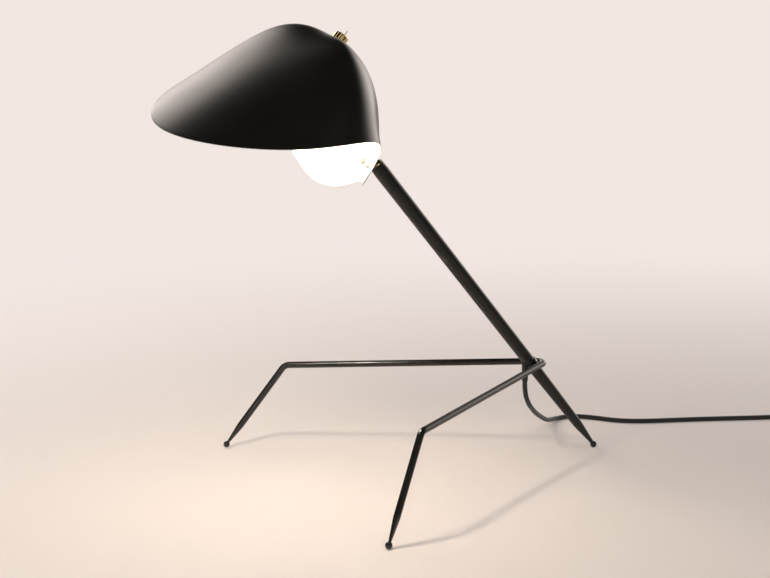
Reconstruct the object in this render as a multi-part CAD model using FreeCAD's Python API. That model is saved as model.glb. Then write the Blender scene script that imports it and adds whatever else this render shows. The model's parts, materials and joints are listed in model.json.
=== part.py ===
import FreeCAD, Part
import math
import os

V = FreeCAD.Vector

# Tripod desk lamp in millimetres, +Z up, the shade towards -Y.
# The origin is on the floor, under the middle of the lamp without its cord.

# Bent rod that makes the two front legs
rod_dia = 8.0
frame_height = 118.0
knee_height = 108.0
knee_reach = 250.0
knee_half_width = 173.0
knee_bend_radius = 11.0
foot_reach = 312.0
foot_half_width = 215.0
leg_taper_length = 30.0
leg_neck_dia = 3.3

# Small ball feet, pressed on pins
foot_ball_dia = 8.0
foot_pin_dia = 2.0
foot_pin_depth = 3.0

# Slanted arm, which is the rear leg and the mast
arm_slope = 50.2
arm_length = 482.0
arm_low_dia = 11.2
arm_frame_dia = 15.0
arm_head_dia = 18.0
arm_end_taper = 1.2
arm_end_taper_length = 12.0
arm_wall = 1.5
arm_tip_length = 38.0
arm_neck_dia = 4.4
arm_spigot_length = 14.0
collar_length = 8.0
collar_wall = 1.3
braze_gap = 0.4

# Ball joint at the head of the arm
ball_wall = 0.85
ball_depth = 2.0
ball_lip_length = 1.0
ball_lip_gap = 0.12
running_gap = 0.05
part_gap = 0.3
bush_length = 17.2
bush_top_depth = 2.8
bush_bore_dia = 5.2
stop_ring_length = 2.7
stop_ring_bore_dia = 8.0
stud_dia = 6.0
stud_bore_dia = 3.2
stud_rise = 18.0
stud_overhang = 1.2
stud_nut_across = 10.0
stud_nut_length = 3.5
stud_washer_dia = 9.6
stud_washer_length = 0.8
wedge_dia = 10.0
wall_station = 11.9
inner_wedge_depth = 5.1

# Sheet metal shade, in its own frame: the ball's centre, visor towards -Y
shade_turn = 12.0
shade_roll = 13.9
shade_width = 252.0
shade_length = 285.0
shade_height = 158.0
sheet = 1.0

# Switch on the shade's back, along the crown's normal
crown_lean = 37.4
switch_nut_dia = 16.4
switch_nut_length = 8.0
flute_count = 14
flute_dia = 2.2
flute_depth = 0.8
nut_chamfer = 0.7
bushing_dia = 10.0
bushing_bore_dia = 5.2
bushing_proud = 0.8
shade_hole_gap = 0.2
switch_washer_dia = 14.0
switch_washer_length = 2.0
switch_body_dia = 20.0
switch_body_length = 11.0
terminal_dia = 2.4
terminal_length = 4.0
terminal_spread = 6.0
lever_dia = 1.9
lever_reach = 13.5
lever_tail = 4.5
lever_angle = 10.0
lever_pivot_height = 2.0
lever_ball_dia = 3.4
lever_pin_dia = 1.0
lever_pin_seat = 1.0

# Lamp holder and bulb
holder_dia = 28.0
holder_cap_length = 10.0
holder_body_length = 22.0
holder_floor = 3.0
screw_shell_wall = 0.7
holder_contact_dia = 6.0
holder_contact_length = 1.2
bulb_cap_dia = 14.0
bulb_cap_length = 18.0
bulb_insulator_dia = 10.0
bulb_insulator_length = 2.5
bulb_contact_dia = 4.8
bulb_contact_length = 1.4
bulb_dia = 45.0
bulb_glass_length = 55.0
bulb_neck_dia = 20.0
bulb_glass_wall = 0.8
bulb_stem_dia = 9.0
bulb_stem_length = 24.0
filament_dia = 1.6
filament_width = 18.0
filament_foot_spacing = 5.6
filament_rise = 8.0

# Cord, its sleeve and its leads inside the lamp
cord_dia = 6.0
sleeve_reach = 8.5
sleeve_rise = 4.0
sleeve_length = 24.0
sleeve_wall = 0.6
sleeve_top_wall = 1.1
sleeve_stub_length = 18.0
arm_cable_dia = 4.0
arm_cable_bend = 8.0
arm_cable_short = 11.0
lead_dia = 3.5
lead_straight = 14.0
lead_bend = 10.5
lead_sweep = 28.0
lead_sag = 14.0

# Coil of spare cord and the plug, laid on the floor behind the lamp
coil_x = 66.0
coil_y = 466.0
coil_heading = 80.0
coil_mean_dia = 66.0
coil_gap = 0.6
coil_half_turns = 5
plug_lead_level = 38.0
plug_lead_run = 26.0
plug_lead_turn = -10.0
relief_length = 32.0
relief_end_dia = 7.4
relief_root_dia = 10.5
plug_length = 34.0
plug_rear_width = 15.0
plug_front_width = 27.0
plug_thickness = 13.6
plug_edge = 3.0
plug_shoulder_share = 0.6
pin_dia = 4.0
pin_length = 19.0
pin_spacing = 19.0

overrun = 5.0
offset_tolerance = 0.001


def unit(vector):
    """The vector at length one."""
    return vector.normalize() if vector.Length else vector


def turned_to(shape, base, axis):
    """The shape with its own +Z laid along axis and its own origin at base."""
    copy = shape.copy()
    copy.Placement = FreeCAD.Placement(base, FreeCAD.Rotation(V(0, 0, 1), axis))
    return copy


def lathe(profile, base, axis):
    """A solid turned from (radius, station) points along axis from base."""
    points = [V(radius, 0, station) for radius, station in profile]
    face = Part.Face(Part.makePolygon(points + points[:1]))
    return turned_to(face.revolve(V(0, 0, 0), V(0, 0, 1), 360), base, axis)


def bar(start, end, dia):
    """A round bar between two points."""
    run = end - start
    return Part.makeCylinder(dia / 2, run.Length, start, run)


def corner_arc(before, corner, after, radius):
    """The arc of the given radius that rounds a corner: start, middle and end."""
    incoming = unit(corner - before)
    outgoing = unit(after - corner)
    half_turn = incoming.getAngle(outgoing) / 2
    cut = radius * math.tan(half_turn)
    start = corner - incoming * cut
    end = corner + outgoing * cut
    inward = unit((start + end) / 2 - corner)
    return start, corner + inward * (radius / math.cos(half_turn) - radius), end


def rounded_path(points, radii):
    """A wire of straight runs joined by tangent arcs, one radius per inner point."""
    edges = []
    last = points[0]
    for before, corner, after, radius in zip(points, points[1:], points[2:], radii):
        start, middle, end = corner_arc(before, corner, after, radius)
        edges.append(Part.LineSegment(last, start).toShape())
        edges.append(Part.Arc(start, middle, end).toShape())
        last = end
    edges.append(Part.LineSegment(last, points[-1]).toShape())
    return Part.Wire(edges)


def swept(wire, dia):
    """A round solid swept along a wire."""
    first = wire.Edges[0]
    start = first.valueAt(first.FirstParameter)
    heading = first.tangentAt(first.FirstParameter)
    ring = Part.Wire(Part.Circle(start, heading, dia / 2).toShape())
    return wire.makePipeShell([ring], True, False)


def largest(shape):
    """The biggest solid of a cut shape."""
    return max(shape.Solids, key=lambda solid: solid.Volume)


# Arm line, from the centre of its foot ball up to its head
up_arm = V(0, -math.cos(math.radians(arm_slope)), math.sin(math.radians(arm_slope)))
foot_radius = foot_ball_dia / 2
crossing_station = (frame_height - foot_radius) / up_arm.z
sleeve_top = frame_height + sleeve_rise
arm_foot_centre = V(0, 0, frame_height) - up_arm * crossing_station
arm_end_dia = arm_head_dia - arm_end_taper
ball_station = arm_length - ball_depth
ball_centre = arm_foot_centre + up_arm * ball_station
bore_dia = arm_end_dia - 2 * ball_wall
ball_dia = bore_dia - 2 * running_gap
bush_station = ball_station - bush_top_depth - bush_length
stop_station = bush_station - part_gap - stop_ring_length
head_station = arm_length - arm_end_taper_length


def on_arm(station):
    """The point of the arm's axis at a station counted from the foot ball's centre."""
    return arm_foot_centre + up_arm * station


def neck_station(neck_dia):
    """How far from a foot ball's centre a tip's end disc meets the ball."""
    return math.sqrt(foot_radius ** 2 - (neck_dia / 2) ** 2)


def arm_outline():
    """The arm's outer radius and station at each change of its taper."""
    return [
        (arm_low_dia / 2, arm_tip_length),
        (arm_frame_dia / 2, crossing_station),
        (arm_head_dia / 2, head_station),
        (arm_end_dia / 2, arm_length),
    ]


def arm_body():
    """The arm as a solid bar of its outer shape."""
    return lathe([(0, arm_tip_length)] + arm_outline() + [(0, arm_length)], arm_foot_centre, up_arm)


def sleeve_stub():
    """The sleeve's plug, which fills the arm's cord hole."""
    top = V(0, -sleeve_reach, sleeve_top)
    return bar(top - V(0, 0, sleeve_stub_length), top, cord_dia)


def arm_tube():
    """The tapered tube: bored along its length, with a straight bore and a lip for the ball."""
    low, crossing, head, end = arm_outline()
    lip_radius = math.sqrt((ball_dia / 2) ** 2 - ball_depth ** 2) + ball_lip_gap
    lip_station = arm_length - ball_lip_length
    slope = (head[0] - crossing[0]) / (head[1] - crossing[1])
    stop_radius = crossing[0] + slope * (stop_station - crossing[1]) - arm_wall
    bore = [
        (lip_radius, arm_length),
        (bore_dia / 2, lip_station),
        (bore_dia / 2, stop_station),
        (stop_radius, stop_station),
        (crossing[0] - arm_wall, crossing[1]),
        (low[0] - arm_wall, low[1]),
    ]
    return lathe([low, crossing, head, end] + bore, arm_foot_centre, up_arm).cut(sleeve_stub())


def arm_tip():
    """The turned lower end: a spigot in the tube, a long taper and the foot ball's pin."""
    neck = neck_station(arm_neck_dia)
    low = arm_outline()[0]
    crossing = arm_outline()[1]
    bore_slope = (crossing[0] - low[0]) / (crossing[1] - low[1])
    spigot_top = arm_tip_length + arm_spigot_length
    profile = [
        (0, foot_radius - foot_pin_depth),
        (foot_pin_dia / 2, foot_radius - foot_pin_depth),
        (foot_pin_dia / 2, neck),
        (arm_neck_dia / 2, neck),
        low,
        (low[0] - arm_wall, arm_tip_length),
        (low[0] - arm_wall + bore_slope * arm_spigot_length, spigot_top),
        (0, spigot_top),
    ]
    return lathe(profile, arm_foot_centre, up_arm)


# Plane of the front legs' upper runs, which meets the arm at the frame's height
frame_slope = math.atan2(frame_height - knee_height, knee_reach)
back_along_frame = V(0, math.cos(frame_slope), math.sin(frame_slope))


def hairpin():
    """The bend round the arm: its radius and the corner that its two runs would meet in."""
    clear = arm_frame_dia / 2 + braze_gap + rod_dia / 2
    tilt = math.radians(arm_slope) + frame_slope
    knee_run = knee_reach / math.cos(frame_slope)
    splay = math.atan2(knee_half_width, knee_run)
    behind = clear / math.sin(tilt)
    beside = math.hypot(clear, clear * math.sin(splay) / math.tan(tilt))
    shift = (behind - beside) / (1 - math.sin(splay))
    radius = behind - shift
    span = math.hypot(knee_half_width, knee_run + shift)
    half_angle = math.atan2(knee_half_width, knee_run + shift) - math.asin(radius / span)
    corner = V(0, 0, frame_height) + back_along_frame * (shift + radius / math.sin(half_angle))
    return radius, corner


def knee(side):
    return V(side * knee_half_width, -knee_reach, knee_height)


def foot_centre(side):
    return V(side * foot_half_width, -foot_reach, foot_radius)


def leg_frame():
    """One rod: up from the right foot, over the knee, round the arm and down to the left foot."""
    radius, corner = hairpin()
    toward_knee = {side: unit(knee(side) - foot_centre(side)) for side in (1, -1)}
    taper_start = {side: foot_centre(side) + toward_knee[side] * leg_taper_length for side in (1, -1)}
    path = [taper_start[1], knee(1), corner, knee(-1), taper_start[-1]]
    frame = swept(rounded_path(path, [knee_bend_radius, radius, knee_bend_radius]), rod_dia)
    neck = neck_station(leg_neck_dia)
    profile = [
        (0, foot_radius - foot_pin_depth),
        (foot_pin_dia / 2, foot_radius - foot_pin_depth),
        (foot_pin_dia / 2, neck),
        (leg_neck_dia / 2, neck),
        (rod_dia / 2, leg_taper_length),
        (0, leg_taper_length),
    ]
    for side in (1, -1):
        frame = frame.fuse(lathe(profile, foot_centre(side), toward_knee[side]))
    return frame.removeSplitter()


def foot_ball(centre, tip):
    """A ball foot bored and spot-faced to sit on its tip."""
    return Part.makeSphere(foot_radius, centre).cut(tip)


def braze_collar(frame, sleeve):
    """The short collar round the arm that the rod is brazed to, notched for the cord's sleeve."""
    outer = Part.makeCylinder(
        arm_frame_dia / 2 + collar_wall, collar_length,
        on_arm(crossing_station - collar_length / 2), up_arm)
    return largest(outer.cut(arm_body()).cut(frame).cut(sleeve))


def cord_sleeve():
    """The tapered rubber sleeve under the arm, saddled to it and plugged into its hole."""
    low = V(0, -sleeve_reach, sleeve_top - sleeve_length)
    low_radius = cord_dia / 2 + sleeve_wall
    top_radius = cord_dia / 2 + sleeve_top_wall
    cone = Part.makeCone(low_radius, top_radius, sleeve_length, low, V(0, 0, 1))
    saddle = max(cone.cut(arm_body()).Solids, key=lambda solid: -solid.CenterOfMass.z)
    return saddle.fuse(sleeve_stub()).removeSplitter()


def arm_cable():
    """The cable inside the arm, from the sleeve's plug to the ball joint's bush."""
    start = V(0, -sleeve_reach, sleeve_top)
    station = crossing_station + sleeve_reach / -up_arm.y
    turn = on_arm(station)
    end = on_arm(bush_station + arm_cable_short)
    return swept(rounded_path([start, turn, end], [arm_cable_bend]), arm_cable_dia)


def stop_ring():
    """The ring pressed into the tube under the bush."""
    profile = [
        (stop_ring_bore_dia / 2, stop_station),
        (bore_dia / 2, stop_station),
        (bore_dia / 2, stop_station + stop_ring_length),
        (stop_ring_bore_dia / 2, stop_station + stop_ring_length),
    ]
    return lathe(profile, arm_foot_centre, up_arm)


def seat_bush():
    """The bush that turns in the tube, with the ball's hollow seat in its top."""
    profile = [
        (bush_bore_dia / 2, bush_station),
        (ball_dia / 2, bush_station),
        (ball_dia / 2, bush_station + bush_length),
        (bush_bore_dia / 2, bush_station + bush_length),
    ]
    seat = Part.makeSphere(ball_dia / 2 + running_gap, ball_centre)
    return lathe(profile, arm_foot_centre, up_arm).cut(seat)


# Head pieces are built in the shade's frame and laid in the lamp by this placement
shade_rotation = FreeCAD.Rotation(V(0, 0, 1), shade_turn) * FreeCAD.Rotation(V(0, 1, 0), shade_roll)
in_lamp = FreeCAD.Placement(ball_centre, shade_rotation)
in_shade = in_lamp.inverse()
into_shade = V(0, -math.cos(math.radians(stud_rise)), math.sin(math.radians(stud_rise)))
out_of_crown = V(0, math.sin(math.radians(crown_lean)), math.cos(math.radians(crown_lean)))

# Control net of the shade's outer face. The columns go round from the back to the visor,
# as shares of half the width, of the length and of the height, for the right-hand side.
# The first ring and the second lie in the crown's tangent plane.
crown_y_share = -0.285
crown_z_share = 0.935
crown_ring_dia = 8.0
crown_reach_shares = [0.170, 0.235, 0.281, 0.298, 0.074]
flank_shares = [
    (0.000, 0.124, 0.136),
    (0.313, -0.060, 0.237),
    (0.743, -0.363, 0.674),
    (0.812, -0.439, 0.867),
    (0.000, -0.460, 1.047),
]
rim_shares = [
    (0.000, 0.017, -0.037),
    (0.208, -0.256, -0.342),
    (1.016, -0.289, 0.591),
    (1.063, -0.709, 0.441),
    (0.000, -1.191, 0.374),
]
right_edge_lift_share = 0.30
drawn_crown = V(0, crown_y_share * shade_length, crown_z_share * shade_height)


def mirrored(column):
    """The five right-hand columns and their left-hand twins, once round."""
    left = [V(-point.x, point.y, point.z) for point in column[3:0:-1]]
    return column + left


def crown_ring(reaches):
    """Points round the crown in its tangent plane, at one reach each."""
    backward = V(0, math.cos(math.radians(crown_lean)), -math.sin(math.radians(crown_lean)))
    ring = []
    for column, reach in enumerate(reaches):
        angle = math.pi * column / 4
        outward = V(math.sin(angle), 0, 0) + backward * math.cos(angle)
        ring.append(drawn_crown + outward * reach)
    return mirrored(ring)


def net_row(shares):
    """One row of the net from its shares."""
    width, length, height = shade_width / 2, shade_length, shade_height
    return mirrored([V(x * width, y * length, z * height) for x, y, z in shares])


def drawn_face():
    """The shade's outer face, where its shares draw it: cubic from crown to rim and closed round.

    The back's lower edge is cut higher on the right, by a share of the way up to the flank.
    """
    first_ring = crown_ring([crown_ring_dia / 2] * len(crown_reach_shares))
    second_ring = crown_ring([share * shade_length for share in crown_reach_shares])
    flank = net_row(flank_shares)
    rim = net_row(rim_shares)
    rim[1] += (flank[1] - rim[1]) * right_edge_lift_share
    rows = [first_ring, second_ring, flank, rim]
    surface = Part.BSplineSurface()
    around = list(range(len(first_ring) + 1))
    surface.buildFromPolesMultsKnots(
        rows, [4, 4], [1] * len(around), [0.0, 1.0], [float(knot) for knot in around], False, True, 3, 3)
    return surface.toShape()


def wall_distance(face):
    """How far along the stud from the ball's centre its axis meets the shade's back.

    The line ends short of the shade's front, so it meets the back alone.
    """
    stud_line = Part.makeLine(V(0, 0, 0), into_shade * -drawn_crown.y)
    return min(places[0].Length for places in stud_line.distToShape(face)[1])


# The drawn shade is slid along the stud until its wall is at its station
seat_shift = into_shade * (wall_station - wall_distance(drawn_face()))
crown = drawn_crown + seat_shift
inner_wedge_reach = wall_station + inner_wedge_depth


def shade_shell():
    """The sheet shade, with the holes for the switch and for the ball's stud."""
    outer_face = drawn_face().translated(seat_shift)
    shell = outer_face.makeOffsetShape(sheet, offset_tolerance, fill=True)
    hole = bushing_dia + 2 * shade_hole_gap
    shell = shell.cut(bar(crown - out_of_crown * overrun, crown + out_of_crown * overrun, hole))
    stud_hole = stud_dia + 2 * running_gap
    return shell.cut(bar(into_shade * stud_dia, into_shade * inner_wedge_reach, stud_hole))


def along_stud(profile):
    """A solid turned about the ball stud's axis, in the shade's frame."""
    return lathe(profile, V(0, 0, 0), into_shade)


def along_crown(profile):
    """A solid turned about the switch's axis, with its stations counted down into the shade."""
    return lathe(profile, crown, -out_of_crown)


def washer(bore_dia, dia, low, high):
    """The profile of a ring between two stations."""
    return [(bore_dia / 2, low), (dia / 2, low), (dia / 2, high), (bore_dia / 2, high)]


# Stations along the stud, from the ball's centre
wedge_station = ball_dia / 2 + part_gap + running_gap
washer_station = inner_wedge_reach + part_gap
nut_station = washer_station + stud_washer_length
stud_end = nut_station + stud_nut_length + stud_overhang


def ball_stud():
    """The ball with its stud: drilled through for the wires, and drilled towards the arm."""
    ball = Part.makeSphere(ball_dia / 2)
    stud = bar(V(0, 0, 0), into_shade * stud_end, stud_dia)
    drill = bar(V(0, 0, 0), into_shade * (stud_end + overrun), stud_bore_dia)
    down_arm = in_shade.Rotation.multVec(-up_arm)
    entry = bar(V(0, 0, 0), down_arm * ball_dia, bush_bore_dia - 2 * part_gap)
    return ball.fuse(stud).cut(drill).cut(entry)


def stud_washer():
    return along_stud(washer(stud_dia, stud_washer_dia, washer_station, nut_station))


def stud_nut():
    """The hexagon nut that holds the shade on the stud."""
    corner = stud_nut_across / 2 / math.cos(math.pi / 6)
    angles = [math.pi * k / 3 for k in range(7)]
    corners = [V(corner * math.cos(angle), corner * math.sin(angle), 0) for angle in angles]
    block = Part.Face(Part.makePolygon(corners)).extrude(V(0, 0, stud_nut_length))
    block = block.cut(Part.makeCylinder(stud_dia / 2, stud_nut_length))
    return turned_to(block, into_shade * nut_station, into_shade)


def wedges(shell):
    """The two brass seats that make the slanting sheet square to the stud, outside and inside."""
    bore = stud_dia + 2 * running_gap
    blank = along_stud(washer(bore, wedge_dia, wedge_station, inner_wedge_reach))
    halves = sorted(blank.cut(shell).Solids, key=lambda solid: solid.CenterOfMass * into_shade)
    return halves[0], halves[-1]


def switch_nut():
    """The fluted ring nut on the crown."""
    radius = switch_nut_dia / 2
    profile = [
        (bushing_dia / 2, 0),
        (radius, 0),
        (radius, -switch_nut_length + nut_chamfer),
        (radius - nut_chamfer, -switch_nut_length),
        (bushing_dia / 2, -switch_nut_length),
    ]
    nut = along_crown(profile)
    foot = crown - out_of_crown * overrun
    reach = out_of_crown * (switch_nut_length + 2 * overrun)
    rotation = FreeCAD.Rotation(V(0, 0, 1), out_of_crown)
    for flute in range(flute_count):
        angle = 2 * math.pi * flute / flute_count
        spread = radius - flute_depth + flute_dia / 2
        offset = rotation.multVec(V(math.cos(angle), math.sin(angle), 0)) * spread
        nut = nut.cut(bar(foot + offset, foot + offset + reach, flute_dia))
    return nut


screw_shell_bore_dia = bulb_cap_dia + 2 * part_gap
screw_shell_dia = screw_shell_bore_dia + 2 * screw_shell_wall

# Stations of the switch and lamp holder, counted down into the shade from the crown
switch_top = sheet + switch_washer_length
switch_bottom = switch_top + switch_body_length
holder_top = switch_bottom + terminal_length
cap_bottom = holder_top + holder_cap_length
holder_bottom = cap_bottom + holder_body_length
contact_top = cap_bottom + holder_floor
bulb_top = contact_top + holder_contact_length
insulator_top = bulb_top + bulb_contact_length
bulb_cap_top = insulator_top + bulb_insulator_length
glass_top = bulb_cap_top + bulb_cap_length


lever_pin_length = bushing_bore_dia + 2 * lever_pin_seat


def switch_bushing():
    """The threaded bush that carries the lever through the sheet, with blind holes for its pin."""
    top = -switch_nut_length - bushing_proud
    bush = along_crown(washer(bushing_bore_dia, bushing_dia, top, switch_top))
    pivot = crown + out_of_crown * lever_pivot_height
    half_pin = V(lever_pin_length / 2 + running_gap, 0, 0)
    return bush.cut(bar(pivot - half_pin, pivot + half_pin, lever_pin_dia + 2 * running_gap))


def switch_lever():
    """The toggle lever with its pivot ball and pin, thrown towards the back."""
    pivot = crown + out_of_crown * lever_pivot_height
    lean = math.radians(crown_lean + lever_angle)
    along = V(0, math.sin(lean), math.cos(lean))
    tip = pivot + along * (lever_reach - lever_dia / 2)
    lever = bar(pivot, tip, lever_dia).fuse(Part.makeSphere(lever_dia / 2, tip))
    lever = lever.fuse(bar(pivot - along * lever_tail, pivot, lever_dia))
    lever = lever.fuse(Part.makeSphere(lever_ball_dia / 2, pivot))
    half_pin = V(lever_pin_length / 2, 0, 0)
    return lever.fuse(bar(pivot - half_pin, pivot + half_pin, lever_pin_dia))


def switch_washer(shell):
    """The washer under the sheet, dished to its curve."""
    return largest(along_crown(washer(bushing_dia, switch_washer_dia, sheet / 2, switch_top)).cut(shell))


def switch_body():
    """The switch's case, with room for the lever's tail."""
    pocket_floor = switch_top + lever_tail
    radius = switch_body_dia / 2
    profile = [
        (0, switch_bottom), (radius, switch_bottom), (radius, switch_top),
        (bushing_bore_dia / 2, switch_top), (bushing_bore_dia / 2, pocket_floor), (0, pocket_floor),
    ]
    return along_crown(profile)


def switch_terminals():
    """The two posts that join the switch to the lamp holder."""
    posts = []
    for side in (1, -1):
        start = crown - out_of_crown * switch_bottom + V(side * terminal_spread, 0, 0)
        posts.append(bar(start, start - out_of_crown * terminal_length, terminal_dia))
    return Part.makeCompound(posts)


def holder_cap():
    """The lamp holder's plain cap."""
    radius = holder_dia / 2
    profile = [(0, holder_top), (radius - nut_chamfer, holder_top), (radius, holder_top + nut_chamfer),
               (radius, cap_bottom), (0, cap_bottom)]
    return along_crown(profile)


def holder_body():
    """The insulating skirt round the screw shell."""
    radius = holder_dia / 2
    shell_radius = screw_shell_dia / 2
    profile = [
        (0, cap_bottom), (radius, cap_bottom), (radius, holder_bottom),
        (shell_radius, holder_bottom), (shell_radius, contact_top), (0, contact_top),
    ]
    return along_crown(profile)


def screw_shell():
    return along_crown(washer(screw_shell_bore_dia, screw_shell_dia, contact_top, holder_bottom - part_gap))


def disc(dia, low, high):
    """A plain round piece of the lamp holder or bulb."""
    return along_crown([(0, low), (dia / 2, low), (dia / 2, high), (0, high)])


def bulb_outline(inset):
    """The glass's meridian, drawn in by inset: a neck as wide as the cap at its top, then a globe."""
    radius = bulb_dia / 2 - inset
    centre = glass_top + bulb_glass_length - bulb_dia / 2
    neck = bulb_neck_dia / 2 - inset
    meeting = centre - math.sqrt(radius ** 2 - neck ** 2)
    middle_angle = (math.pi + math.asin(neck / radius)) / 2
    top = V(bulb_cap_dia / 2 - inset, 0, glass_top)
    shoulder = V(neck, 0, meeting)
    side = V(radius * math.sin(middle_angle), 0, centre - radius * math.cos(middle_angle))
    bottom = V(0, 0, centre + radius)
    return [
        Part.LineSegment(V(0, 0, glass_top), top).toShape(),
        Part.LineSegment(top, shoulder).toShape(),
        Part.Arc(shoulder, side, bottom).toShape(),
        Part.LineSegment(bottom, V(0, 0, glass_top)).toShape(),
    ]


def bulb_solid(inset):
    """The round space inside the glass's meridian."""
    face = Part.Face(Part.Wire(bulb_outline(inset)))
    return turned_to(face.revolve(V(0, 0, 0), V(0, 0, 1), 360), crown, -out_of_crown)


def bulb_glass():
    """The frosted glass, open at its neck."""
    return bulb_solid(0).cut(bulb_solid(bulb_glass_wall))


def filament():
    """The short glowing bow on the stem's two legs."""
    stem_end = glass_top + bulb_stem_length
    low = stem_end - filament_dia
    high = stem_end + filament_rise
    half = filament_width / 2
    foot = filament_foot_spacing / 2
    points = [V(-foot, 0, low), V(-half, 0, high), V(half, 0, high), V(foot, 0, low)]
    bow = swept(rounded_path(points, [filament_dia, filament_dia]), filament_dia)
    return turned_to(bow, crown, -out_of_crown).cut(disc(bulb_stem_dia, glass_top, stem_end))


def shade_lead():
    """The lead inside the shade, from the stud's end up to the lamp holder's cap."""
    start = into_shade * (stud_end + part_gap)
    station = (holder_top + cap_bottom) / 2
    down_back = V(0, math.cos(math.radians(crown_lean)), -math.sin(math.radians(crown_lean)))
    end = crown - out_of_crown * station + down_back * (holder_dia / 2)
    last = end + down_back * lead_straight
    first = start + into_shade * lead_straight
    middle = (first + last) / 2 - V(0, lead_sag, 0)
    radii = [lead_bend, lead_sweep, lead_bend]
    return swept(rounded_path([start, first, middle, last, end], radii), lead_dia)


# Cord on the floor: hand-picked places in the lamp's frame before the origin is set
floor_line = cord_dia / 2
cord_route = [
    (0.0, -8.5, 98.0),
    (0.0, -8.5, 84.0),
    (-7.0, 1.0, 67.0),
    (-24.0, 20.0, 51.0),
    (-53.0, 48.0, 34.0),
    (-94.0, 87.0, 13.0),
    (-127.0, 120.0, floor_line),
    (-129.0, 149.0, floor_line),
    (-107.0, 171.0, floor_line),
    (-79.0, 189.0, floor_line),
    (-60.0, 221.0, floor_line),
    (-44.0, 267.0, floor_line),
    (-23.0, 320.0, floor_line),
    (-1.0, 372.0, floor_line),
]
coil_approach = 35.0
route_radius_share = 0.45


def cord_radii(points):
    """The largest even arc at each inner point of a route."""
    radii = []
    for before, corner, after in zip(points, points[1:], points[2:]):
        half_turn = (corner - before).getAngle(after - corner) / 2
        shorter = min((corner - before).Length, (after - corner).Length)
        radii.append(route_radius_share * shorter / math.tan(half_turn))
    return radii


coil_pitch = cord_dia + coil_gap
coil_centre = V(coil_x, coil_y, floor_line)
entry_heading = V(math.cos(math.radians(coil_heading)), math.sin(math.radians(coil_heading)), 0)
entry_side = V(-entry_heading.y, entry_heading.x, 0)


def half_turn(centre, radius, side, heading, climb):
    """The edges and the end of one clockwise half turn, which may climb a layer."""
    start = centre + side * radius
    end = centre - side * radius + V(0, 0, climb)
    if not climb:
        return [Part.Arc(start, centre + heading * radius, end).toShape()], end
    reach = (end - start).Length / 2
    first = start + heading * reach
    second = end + heading * reach
    middle = (first + second) / 2
    edges = []
    for before, corner, after in ((start, first, middle), (middle, second, end)):
        half_angle = (corner - before).getAngle(after - corner) / 2
        arc = corner_arc(before, corner, after, reach / math.tan(half_angle))
        edges.append(Part.Arc(before, arc[1], after).toShape())
    return edges, end


def coil_path():
    """The coil's centre line: in along the floor, up a layer in the middle, and out on top.

    Each half turn's radius differs from the last by half the pitch, so that turns on one
    side share a centre and lie one pitch apart.
    """
    radius = coil_mean_dia / 2 + coil_pitch * coil_half_turns / 4
    centre = coil_centre
    side, heading = entry_side, entry_heading
    entry = centre + side * radius - heading * cord_dia
    edges = [Part.LineSegment(entry, centre + side * radius).toShape()]
    steps = [-1] * coil_half_turns + [1] * (coil_half_turns - 1) + [0]
    for turn, step in enumerate(steps):
        climb = coil_pitch if turn == coil_half_turns else 0
        turn_edges, end = half_turn(centre, radius, side, heading, climb)
        edges += turn_edges
        side, heading = side * -1, heading * -1
        radius += step * coil_pitch / 2
        centre = end - side * radius
    leaving = end + heading * cord_dia
    edges.append(Part.LineSegment(end, leaving).toShape())
    return Part.Wire(edges), entry, leaving


def least_gap(wire, dia):
    """The least gap between stretches of a wound tube that lie apart along it."""
    points = wire.discretize(Distance=dia / 3)
    apart = 8
    nearest = min(
        (point - other).Length
        for place, point in enumerate(points) for other in points[place + apart:])
    return nearest - dia


def swung(heading, degrees):
    """A level heading turned about the vertical."""
    return FreeCAD.Rotation(V(0, 0, 1), degrees).multVec(heading)


def report_cord(name, points, dia, solid, wire):
    """Print a tube's radii and how its volume compares with its section times its length."""
    radii = ", ".join("%.0f" % radius for radius in cord_radii(points))
    ratio = solid.Volume / (math.pi * dia ** 2 / 4 * wire.Length)
    print("%s: length %.0f, radii %s, volume ratio %.4f" % (name, wire.Length, radii, ratio))


def floor_cord():
    """The stretch from the sleeve to the coil, the coil, and the short lead to the plug."""
    coil_wire, entry, leaving = coil_path()
    coil = swept(coil_wire, cord_dia)
    ratio = coil.Volume / (math.pi * cord_dia ** 2 / 4 * coil_wire.Length)
    print("coil: length %.0f, least gap to itself %.2f, volume ratio %.4f"
          % (coil_wire.Length, least_gap(coil_wire, cord_dia), ratio))

    route = [V(*point) for point in cord_route] + [entry - entry_heading * coil_approach, entry]
    stretch_wire = rounded_path(route, cord_radii(route))
    stretch = swept(stretch_wire, cord_dia)
    report_cord("power_cord", route, cord_dia, stretch, stretch_wire)

    plug_heading = swung(entry_heading, plug_lead_turn * 2)
    level_end = leaving + entry_heading * plug_lead_level
    low = level_end + swung(entry_heading, plug_lead_turn) * plug_lead_run
    low.z = plug_thickness / 2
    end = low + plug_heading * plug_lead_run
    lead_route = [leaving, level_end, low, end]
    lead_wire = rounded_path(lead_route, cord_radii(lead_route))
    lead = swept(lead_wire, cord_dia)
    report_cord("plug_lead", lead_route, cord_dia, lead, lead_wire)
    return stretch, coil, lead, end, plug_heading


def plug_relief(end, heading):
    """The tapered sleeve behind the plug."""
    profile = [(0, 0), (relief_end_dia / 2, 0), (relief_root_dia / 2, relief_length), (0, relief_length)]
    return lathe(profile, end, heading)


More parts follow.
